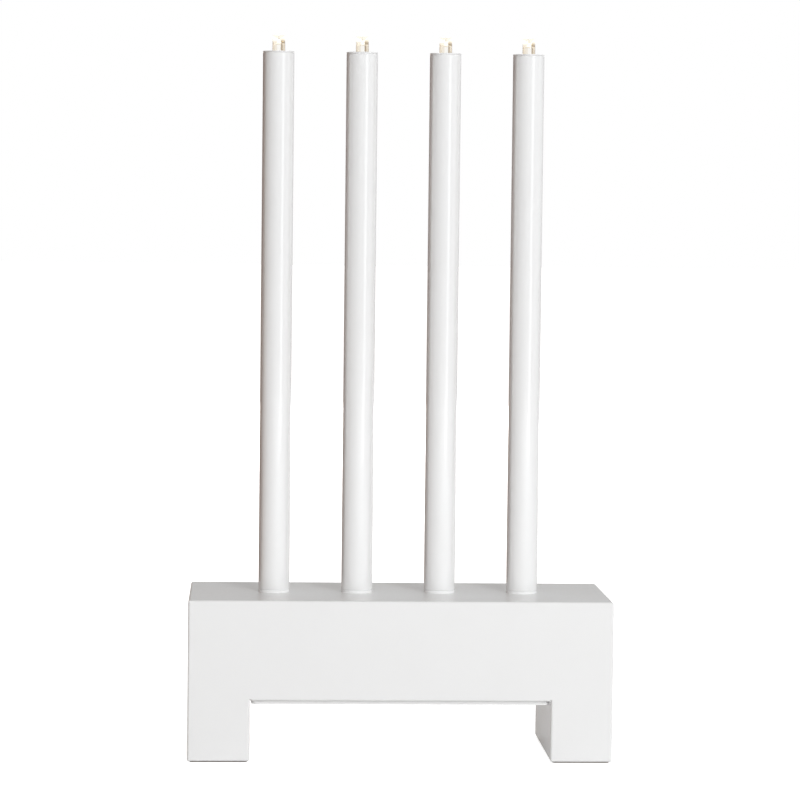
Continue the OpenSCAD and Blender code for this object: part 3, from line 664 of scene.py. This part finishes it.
# The lit dome: a quarter of an ellipse over a short cone, turned about the lamp's axis
def makeDome(i, axis, top, given):
    cup, foot = given["cupRadius"], -given["cupDepth"] / 2
    s = np.linspace(0, 1, given["domeRings"]) * np.pi / 2
    dome = np.stack([cup * given["domeRadius"] * np.cos(s), cup * given["domeHeight"] * np.sin(s)], 1)
    dome[-1, 0] = 0
    outline = np.concatenate([[(0, foot)], [(cup * given["domeFoot"], foot)], dome])
    outward = np.concatenate([[(0, -1)], [(0.5, -0.5)], np.stack([np.cos(s), np.sin(s)], 1)])
    shape = revolve(outline, outward, (axis, 0, top - given["domeDrop"]), given["domeColumns"])
    putPiece(f"lamp_phosphor_{i}", shape, phosphor)


# The hair wire: half an ellipse from the dome to the post
def makeHairWire(i, axis, top, given):
    end = (given["leadPitch"] + given["lead"] - given["postWidth"]) / 2
    drop = given["postDrop"]
    arc = np.linspace(given["hairStart"], 1, given["hairRings"]) * np.pi
    path = np.stack([axis + end / 2 - end / 2 * np.cos(arc), 0 * arc,
                     top - drop + drop * given["hairRise"] * np.sin(arc)], 1)
    putPiece(f"lamp_hair_wire_{i}", barAlong(path, given["hairRadius"], given["hairColumns"]), gold)


for i in candles:
    axis = middle(f"tube_{i}")[0]
    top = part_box(f"lamp_lead_frame_{i}")[1].z + emitterSet["rise"]
    for make in (makeLeads, makeDome, makeHairWire):
        make(i, axis, top, emitterSet)
print("lamps ready")


# Felt pads: pressed fibre, a rounded plan shrunk towards its middle, with an uneven cut edge

feltSet = {
    "cornerRadius": 1.2 * mm,
    "edgeRadius": 0.3 * mm,
    "edgeSteps": 5,
    "unevenness": 0.10 * mm,
    "waves": ((23, 0.0), (61, 1.3), (97, 2.1)),     # of the cut edge: their number and where they start
    "columns": 360,
    "rings": 6,                 # across each flat face
    "rimFrom": 0.9,             # the cut edge is uneven beyond this share of the half width
    "color": (0.22, 0.175, 0.145, 1),
    "pale": (0.33, 0.275, 0.24, 1),
    "paleFrom": 0.38,
    "paleFull": 0.64,
    "roughness": 0.85,
    "fibreRoughness": 0.12,
    "sheen": 0.3,
    "fibre": 0.5 * mm,
    "fibreLength": 0.3,         # scale along a fibre, against 1 across it
    "fibreDepth": 0.12 * mm,
}


def feltFinish(given):
    m = Finish("pressed_felt")
    long = given["fibreLength"]
    tangle = m.noise(m.stretch(m.place, (1, long, 1)), given["fibre"], detail=6, rough=0.7)
    across = m.noise(m.stretch(m.place, (long, 1, 1)), given["fibre"], detail=6, rough=0.7)
    fibres = (tangle + across) / 2
    pale = m.step(fibres, given["paleFrom"], given["paleFull"])
    return m.finish(color=m.blend(pale, given["color"], given["pale"]),
                    roughness=given["roughness"] + fibres * given["fibreRoughness"],
                    sheen=given["sheen"], bump=m.bump(fibres, given["fibreDepth"]))


felt = feltFinish(feltSet)


# A point of the pad is a point of the plan times the profile's radius over the half width, drawn in on
# the rim by the waves, at the profile's height
def makeFeltPad(side, given):
    low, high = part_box(f"{side}_felt_pad")
    halfW, halfD, thick = (high.x - low.x) / 2, (high.y - low.y) / 2, high.z - low.z
    corners = [(-halfW, -halfD), (halfW, -halfD), (halfW, halfD), (-halfW, halfD)]
    outline, _ = roundCorners(corners, given["cornerRadius"], closed=True)
    outline = np.concatenate([outline, outline[:1]])
    along = np.concatenate([[0], np.cumsum(np.linalg.norm(np.diff(outline, axis=0), axis=1))])
    share = np.linspace(0, along[-1], given["columns"], endpoint=False)
    plan = np.stack([np.interp(share, along, outline[:, k]) for k in range(2)], 1)
    # unevenness of the cut edge: the mean of the sines round the outline, from 0 to 1
    turn = share / along[-1] * 2 * np.pi
    waves = sum(np.sin(count * turn + start) for count, start in given["waves"]) / len(given["waves"])
    inset = given["unevenness"] * (waves + 1) / 2
    # profile from the middle of the lower face round the rim to the middle of the upper face
    r = given["edgeRadius"]
    rim, _ = roundCorners([(0, 0), (halfW, 0), (halfW, thick), (0, thick)], [0, r, r, 0],
                          steps=given["edgeSteps"])
    fill = np.linspace(0, 1, given["rings"] + 2)[1:-1]
    profile = np.concatenate([rim[:1], np.stack([fill * rim[1, 0], 0 * fill], 1), rim[1:-1],
                              np.stack([fill[::-1] * rim[1, 0], 0 * fill + thick], 1), rim[-1:]])
    shrink = (profile[:, 0] / halfW)[:, None, None]
    onRim = shrink > given["rimFrom"]
    drawn = 1 - (inset / np.linalg.norm(plan, axis=1))[None, :, None] * onRim
    flat = plan[None] * shrink * drawn
    heights = np.broadcast_to(profile[:, 1][:, None, None], flat.shape[:2] + (1,))
    centre = np.array([(low.x + high.x) / 2, (low.y + high.y) / 2, low.z])
    points = np.concatenate([flat, heights], 2) + centre
    points, _, faces = closedGrid(points, points, profile[:, 0] < tiny)
    piece = putPiece(f"{side}_felt", (points, None, faces), felt, [f"{side}_felt_pad"])


for side in ("left", "right"):
    makeFeltPad(side, feltSet)
print("felt ready")


# Cells: a steel can with a rolled rim and a contact nub, in a glossy sleeve, turned about the cell's axis

cellSet = {
    "nubRadius": 2.7 * mm,
    "nubLength": 1.1 * mm,
    "rimStep": 0.3 * mm,
    "rimLength": 0.4 * mm,
    "rimRound": 0.12 * mm,
    "grooveRound": 0.04 * mm,   # where the rim of the sleeve meets the can
    "endRound": 0.24 * mm,      # at both ends of the can and at the tip of the nub
    "nubFillet": 0.06 * mm,
    "columns": 80,
    "sleeve": (0.030, 0.034, 0.042, 1),
    "band": (0.52, 0.30, 0.09, 1),
    "bandShare": 0.74,          # where the copper-coloured band begins, from the flat end to the nub
    "bandMetal": 0.6,
    "steel": (0.62, 0.62, 0.62, 1),
    "roughness": 0.22,
    "scratch": 0.3 * mm,
    "scratchStretch": (0.1, 1, 1),
    "scratchDepth": 0.004 * mm,
    "scratchRoughness": 0.14,
}


def cellFinish(name, start, end, axisY, axisZ, radius, given):
    m = Finish(name)
    x, y, z = m.axes(m.place)
    along = (x - start) / (end - start)         # 0 at the flat end, 1 at the tip of the nub
    across = ((y - axisY) ** 2.0 + (z - axisZ) ** 2.0) ** 0.5
    sleeved = across > radius - given["rimStep"] / 2
    band = along > given["bandShare"]
    scratches = m.noise(m.stretch(m.place, given["scratchStretch"]), given["scratch"], detail=4, rough=0.6)
    printed = m.blend(band, given["sleeve"], given["band"])
    return m.finish(color=m.blend(sleeved, given["steel"], printed),
                    metallic=1 - sleeved + sleeved * band * given["bandMetal"],
                    roughness=given["roughness"] + scratches * given["scratchRoughness"],
                    bump=m.bump(scratches, given["scratchDepth"]))


def makeCell(which, nubSide, given):
    low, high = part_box(f"{which}_cell")
    radius, length = (high.z - low.z) / 2, high.x - low.x
    steel, nub = radius - given["rimStep"], given["nubRadius"]
    can, rim = length - given["nubLength"], given["rimLength"]
    corners = [(0, 0), (steel, 0), (steel, rim), (radius, rim), (radius, can - rim), (steel, can - rim),
               (steel, can), (nub, can), (nub, length), (0, length)]
    edge, groove, large = given["rimRound"], given["grooveRound"], given["endRound"]
    profile, normal = roundCorners(
        corners, [0, large, groove, edge, edge, groove, large, given["nubFillet"], large, 0])
    start = low.x if nubSide > 0 else high.x
    end = start + nubSide * length
    axis = middle(f"{which}_cell")
    frame3 = np.array([(0, nubSide, 0), (0, 0, 1), (nubSide, 0, 0)], float)
    shape = revolve(profile, normal, (start, axis[1], axis[2]), given["columns"], frame3)
    material = cellFinish(f"{which}_cell_sleeve", start, end, axis[1], axis[2], radius, given)
    putPiece(f"{which}_battery", shape, material, [f"{which}_cell"])


makeCell("front", 1, cellSet)
makeCell("rear", -1, cellSet)


# Contact springs: a bar along a coil at radius * (cos a, sin a) across its axis, whose radius falls and
# whose place along the axis moves on evenly with the turn a

springSet = {
    "length": 5.5 * mm,
    "wire": 0.7 * mm,
    "wideRadius": 3.4 * mm,
    "narrowRadius": 2.5 * mm,
    "turns": 3,
    "gap": 0.05 * mm,           # between the coil's end and what it stands on
    "stepsPerTurn": 40,
    "columns": 14,
}


def makeSpring(which, side, sheetX, given):
    centre = middle(f"{which}_cell")
    share = np.linspace(0, 1, given["turns"] * given["stepsPerTurn"] + 1)
    radius = given["wideRadius"] + (given["narrowRadius"] - given["wideRadius"]) * share
    turn = 2 * np.pi * given["turns"] * share
    lift = given["wire"] / 2 + given["gap"]
    away = lift + (given["length"] - 2 * lift) * share
    path = np.stack([sheetX - side * away, centre[1] + radius * np.cos(turn),
                     centre[2] + radius * np.sin(turn)], 1)
    shape = barAlong(path, given["wire"] / 2, given["columns"], lean=(1, 0, 0))
    putPiece(f"{which}_contact_coil", shape, nickel, [f"{which}_spring"])


makeSpring("front", -1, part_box("bridge_contact")[1].x, springSet)
makeSpring("rear", 1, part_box("negative_contact")[0].x, springSet)
print("cells and springs ready")


# Wires: from the lamps down through the tubes, over the battery bay in lanes and down to the circuit board

wireSet = {
    "diameter": 1.0 * mm,
    "columns": 14,
    "firstLane": 3.0 * mm,
    "lanePitch": 2.5 * mm,
    "bend": 1.35 * mm,
    "padShare": 0.3,            # place of the lamp pads along the circuit board
    "batteryPad": 3.0 * mm,
    "tabDrop": 1.0 * mm,        # from a contact's top down to the wire on its tab
    "bareLength": 1.6 * mm,
    "red": (0.42, 0.012, 0.010, 1),
    "black": (0.012, 0.012, 0.013, 1),
    "roughness": 0.34,
    "scuff": 0.8 * mm,
    "scuffDepth": 0.01 * mm,
    "scuffRoughness": 0.12,
}


def sleeveFinish(name, color, padTop, leadEnd, given):
    m = Finish(name)
    z = m.axes(m.place)[2]
    bare = (z < padTop + given["bareLength"] / 2) + (z > leadEnd - given["bareLength"])
    scuff = m.noise(m.place, given["scuff"], detail=3)
    return m.finish(color=m.blend(bare, color, bareTin), metallic=bare,
                    roughness=given["roughness"] + scuff * given["scuffRoughness"],
                    bump=m.bump(scuff, given["scuffDepth"]))


# A bar along each route, one route for each lamp and one for the contact, and all bars in one mesh
def makeWires(name, side, given):
    boardLow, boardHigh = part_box("control_board")
    padTop = boardHigh.z
    padX = boardLow.x + given["padShare"] * (boardHigh.x - boardLow.x)
    contactLow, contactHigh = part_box("positive_contact" if side < 0 else "negative_contact")
    runZ = (contactHigh.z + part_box("tube_foot_1")[0].z) / 2
    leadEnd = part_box("lamp_lead_frame_1")[0].z
    routes = []
    for i in candles:
        x = middle(f"tube_{i}")[0] + side * emitterSet["leadPitch"] / 2
        y = side * (given["firstLane"] + (len(candles) - i) * given["lanePitch"])
        routes.append([(x, 0, leadEnd), (x, 0, runZ), (x, y, runZ), (padX, y, runZ), (padX, y, padTop)])
    y, tabZ = (contactLow.y + contactHigh.y) / 2, contactHigh.z - given["tabDrop"]
    batteryX = boardLow.x + given["batteryPad"]
    routes.append([(contactHigh.x, y, tabZ), (batteryX, y, tabZ), (batteryX, y, padTop)])
    shapes = [barAlong(roundRoute(route, given["bend"]), given["diameter"] / 2, given["columns"])
              for route in routes]
    counts = np.cumsum([0] + [len(s[0]) for s in shapes])
    faces = [[k + start for k in face] for start, s in zip(counts, shapes) for face in s[2]]
    together = (np.concatenate([s[0] for s in shapes]), np.concatenate([s[1] for s in shapes]), faces)
    material = sleeveFinish(f"{name}_sleeve", given[name], padTop, leadEnd, given)
    putPiece(f"{name}_leads", together, material, [f"{name}_wires"])


makeWires("red", -1, wireSet)
makeWires("black", 1, wireSet)


# Circuit board: green mask over copper tracks on the two faces, bare glass cloth on the edges

boardSet = {
    "mask": (0.010, 0.085, 0.035, 1),
    "overCopper": (0.020, 0.16, 0.06, 1),
    "edge": (0.50, 0.42, 0.20, 1),
    "maskDepth": 0.08 * mm,
    "trackPitch": 5.0 * mm,
    "trackFrom": 0.07,          # half width of a track, in pitches, and where its slope ends
    "trackFull": 0.098,
    "trackDepth": 0.03 * mm,
    "weave": 0.4 * mm,
    "weaveDepth": 0.2,          # against the tracks'
    "roughness": 0.25,
    "weaveRoughness": 0.1,
    "edgeRoughness": 0.4,       # what bare cloth adds
}


def circuitBoardFinish(given):
    low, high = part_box("control_board")
    m = Finish("circuit_board_mask")
    z = m.axes(m.place)[2]
    inside = (z > low.z + given["maskDepth"]) * (z < high.z - given["maskDepth"])
    toEdge = m.cells(m.place, given["trackPitch"], "DISTANCE_TO_EDGE")
    tracks = 1 - m.step(toEdge, given["trackFrom"], given["trackFull"])
    weave = m.noise(m.place, given["weave"], detail=2)
    face = m.blend(tracks, given["mask"], given["overCopper"])
    return m.finish(color=m.blend(inside, face, given["edge"]),
                    roughness=given["roughness"] + weave * given["weaveRoughness"]
                    + inside * given["edgeRoughness"],
                    bump=m.bump(tracks + weave * given["weaveDepth"], given["trackDepth"]))


# Timer chip: rough black epoxy with a smooth sunk dot at one corner, and tinned legs

chipSet = {
    "epoxy": (0.018, 0.018, 0.02, 1),
    "bodyWidth": 3.9 * mm,
    "bodyMargin": 0.01 * mm,
    "dotRadius": 0.3 * mm,
    "dotInset": 0.8 * mm,
    "dotDepth": 0.05 * mm,
    "dotReach": 0.1 * mm,       # the dot shows down to this far below the top
    "grain": 0.12 * mm,
    "grainDepth": 0.3,          # against the dot's
    "roughness": 0.55,
    "grainRoughness": 0.15,
    "legSmoothness": 0.25,
    "dotSmoothness": 0.3,
}


def chipFinish(given):
    low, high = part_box("timer_chip")
    centre = (low + high) / 2
    m = Finish("chip_epoxy")
    x, y, z = m.axes(m.place)
    legs = abs(y - centre.y) > given["bodyWidth"] / 2 + given["bodyMargin"]
    dx = x - (low.x + given["dotInset"])
    dy = y - (centre.y - given["bodyWidth"] / 2 + given["dotInset"])
    dot = (dx ** 2.0 + dy ** 2.0 < given["dotRadius"] ** 2) * (z > high.z - given["dotReach"])
    grain = m.noise(m.place, given["grain"], detail=4, rough=0.7)
    return m.finish(color=m.blend(legs, given["epoxy"], bareTin), metallic=legs,
                    roughness=given["roughness"] + grain * given["grainRoughness"]
                    - legs * given["legSmoothness"] - dot * given["dotSmoothness"],
                    bump=m.bump(grain * given["grainDepth"] - dot, given["dotDepth"]))


# Lamp resistors: lacquered bodies with four colour bands, and tinned legs

resistorSet = {
    "lacquer": (0.60, 0.43, 0.24, 1),
    "bodyLength": 3.4 * mm,
    "bands": ((-1.1 * mm, (0.05, 0.16, 0.42, 1)), (-0.5 * mm, (0.22, 0.23, 0.24, 1)),
              (0.1 * mm, (0.15, 0.06, 0.03, 1)), (1.1 * mm, (0.55, 0.38, 0.10, 1))),
    "bandWidth": 0.34 * mm,
    "run": 0.7 * mm,            # runs in the lacquer
    "runDepth": 0.04 * mm,
    "roughness": 0.3,
    "runRoughness": 0.15,
}


def resistorFinish(given):
    centreX = middle("lamp_resistors")[0]
    m = Finish("resistor_lacquer")
    x = m.axes(m.place)[0]
    color = given["lacquer"]
    for place, band in given["bands"]:
        ring = abs(x - (centreX + place)) < given["bandWidth"] / 2
        color = m.blend(ring, color, band)
    legs = abs(x - centreX) > given["bodyLength"] / 2
    runs = m.noise(m.place, given["run"], detail=3)
    return m.finish(color=m.blend(legs, color, bareTin), metallic=legs,
                    roughness=given["roughness"] + runs * given["runRoughness"],
                    bump=m.bump(runs, given["runDepth"]))


for name in ("front_board", "back_board", "top_board", "left_end_board", "right_end_board",
             "left_foot_block", "right_foot_block"):
    dress(name, boardPaint)
for name in ("bottom_cover", "battery_lid"):
    dress(name, coverPlasticWithPaintedLight)
for name in ("tube_nuts", "tube_washers", "cover_screws", "board_screws"):
    dress(name, zinc)
for name in ("bridge_contact", "positive_contact", "negative_contact"):
    dress(name, nickel)
dress("switch_housing", tinned)
dress("switch_knob", knobPlastic)
dress("control_board", circuitBoardFinish(boardSet))
dress("timer_chip", chipFinish(chipSet))
dress("lamp_resistors", resistorFinish(resistorSet))
print("wires and electronics ready")


# Floor, daylight and lamps. A side of the room is a direction and two cosines to it, between which
# what is special about that side fades in.

stageSet = {
    "floorSize": 30.0,
    "floorWhite": 0.80,
    "floorRoughness": 0.9,
    "floorLift": 0.85,          # what the camera sees on top of the floor's own light
    "floorGloss": 0.32,         # and what gloss sees on top of it
    "dimFloor": (0.46, 0.25, 0.11, 1),      # colour of the light that the floor's dim side throws back
    "dimFloorSide": {"towards": (-0.743, 0.669, 0.0), "from": 0.45, "full": 0.75},
    "ambient": gray(0.46),
    "dimAmbient": (0.11, 0.045, 0.0, 1),    # the room's own light is dim and warm on its left side
    "dimAmbientSide": {"towards": (-0.87, 0.50, 0.0), "from": 0.35, "full": 0.62},
    "seen": gray(0.42),         # the room as gloss shows it
    "rightSeen": gray(0.77),    # brighter to the right
    "rightSide": {"towards": (0.92, 0.39, 0.0), "from": 0.64, "full": 0.90},
    "backSeen": gray(0.48),     # plain behind the object
    "backSide": {"towards": (-0.05, 0.99, 0.0), "from": 0.80, "full": 0.97},
    "dimSeen": (0.09, 0.02, 0.0, 1),        # and dark brown behind it to the left, on the floor too
    "dimSeenSide": {"towards": (-0.743, 0.669, 0.0), "from": 0.80, "full": 0.93},
    "glassLeft": (0.45, 0.37, 0.28, 1),     # what the lamps' clear bodies show from left and right
    "glassRight": (0.90, 0.85, 0.78, 1),
    "glassFrom": 0.14,
    "glassFull": 0.28,
}
lightSet = {
    "color": (0.975, 0.99, 1.0),
    "aim": (0, 0, 0.14),
    "lights": {     # only the strip shows in gloss
        "front_window": {"place": (-0.02, -2.2, 0.45), "size": (1.2, 1.5), "power": 9.6, "gloss": False},
        "corner_window": {"place": (0.9, -1.9, 0.90), "size": (0.3, 1.3), "power": 21.5, "gloss": False},
        "back_window": {"place": (0.3, 2.2, 0.50), "size": (1.8, 0.8), "power": 26.0, "gloss": False},
        "strip": {"place": (0.574, -0.82, 0.50), "size": (0.27, 1.0), "power": 0.95, "gloss": True},
    },
}


# How far a direction lies towards a side: a smooth step over the cosine between the two
def towardsSide(sheet, direction, side):
    cosine = sheet.node("ShaderNodeVectorMath", {"operation": "DOT_PRODUCT"},
                        {0: direction, 1: Vector(side["towards"]).normalized()}, "Value")
    return sheet.step(cosine, side["from"], side["full"])


# White floor with the object's shadow for the camera; its dim side throws back less and warmer light
def makeFloor(given):
    m = Finish("floor_white")
    away = m.node("ShaderNodeVectorMath", {"operation": "NORMALIZE"}, {0: m.place})
    seen, gloss = m.outputs(m.node("ShaderNodeLightPath"), ("Is Camera Ray", "Is Glossy Ray"))
    dimmed = towardsSide(m, away, given["dimFloorSide"]) * (1 - seen)
    m.finish(color=m.blend(dimmed, gray(given["floorWhite"]), given["dimFloor"]),
             roughness=given["floorRoughness"], specular=0.0)
    strength = seen * given["floorLift"] + gloss * given["floorGloss"]
    lift = m.node("ShaderNodeEmission", None, {"Color": gray(1.0), "Strength": strength})
    both = m.node("ShaderNodeAddShader", None, {0: Value(m, m.shader.outputs[0]), 1: lift})
    dim = m.node("ShaderNodeEmission", None, {"Color": given["dimSeen"]})
    dark = gloss * towardsSide(m, away, given["dimSeenSide"])
    surface = m.node("ShaderNodeMixShader", None, {0: dark, 1: both, 2: dim})
    m.feed(m.tree.nodes["Material Output"].inputs["Surface"], surface)
    half = given["floorSize"] / 2
    mesh = bpy.data.meshes.new("floor")
    mesh.from_pydata([(-half, -half, 0), (half, -half, 0), (half, half, 0), (-half, half, 0)], [],
                     [(0, 1, 2, 3)])
    mesh.materials.append(m.material)
    floor = bpy.data.objects.new("floor", mesh)
    scene.collection.objects.link(floor)


# White to the camera, a gray room with its sides to gloss, white with two darker sides through the clear
# lamps, and an even light with a dim side on everything else
def makeWorld(given):
    world = bpy.data.worlds.new("daylight")
    world.use_nodes = True
    scene.world = world
    s = Sheet(world.node_tree)
    towards = s.node("ShaderNodeTexCoord", None, None, "Generated")
    seen, gloss, glass = s.outputs(s.node("ShaderNodeLightPath"),
                                   ("Is Camera Ray", "Is Glossy Ray", "Is Transmission Ray"))
    across = s.axes(towards)[0]
    sides = s.blend(across > 0.0, given["glassLeft"], given["glassRight"])
    through = s.blend(s.step(abs(across), given["glassFrom"], given["glassFull"]), gray(1.0), sides)
    lit = s.blend(towardsSide(s, towards, given["dimAmbientSide"]), given["ambient"], given["dimAmbient"])
    room = s.blend(towardsSide(s, towards, given["rightSide"]), given["seen"], given["rightSeen"])
    behind = s.blend(towardsSide(s, towards, given["backSide"]), room, given["backSeen"])
    mirrored = s.blend(towardsSide(s, towards, given["dimSeenSide"]), behind, given["dimSeen"])
    indirect = s.blend(glass, s.blend(gloss, lit, mirrored), through)
    background = world.node_tree.nodes["Background"]
    s.feed(background.inputs["Color"], s.blend(seen, indirect, gray(1.0)))


# Area lights that all face the same point above the floor
def makeLights(given):
    for name, values in given["lights"].items():
        data = bpy.data.lights.new(name, "AREA")
        data.shape = "RECTANGLE"
        data.size, data.size_y = values["size"]
        data.energy = values["power"]
        data.color = given["color"]
        light = bpy.data.objects.new(name, data)
        light.location = values["place"]
        towards = Vector(given["aim"]) - light.location
        light.rotation_euler = towards.to_track_quat("-Z", "Y").to_euler()
        light.visible_glossy = values["gloss"]
        light.visible_transmission = False
        scene.collection.objects.link(light)


makeFloor(stageSet)
makeWorld(stageSet)
makeLights(lightSet)
print("stage ready")
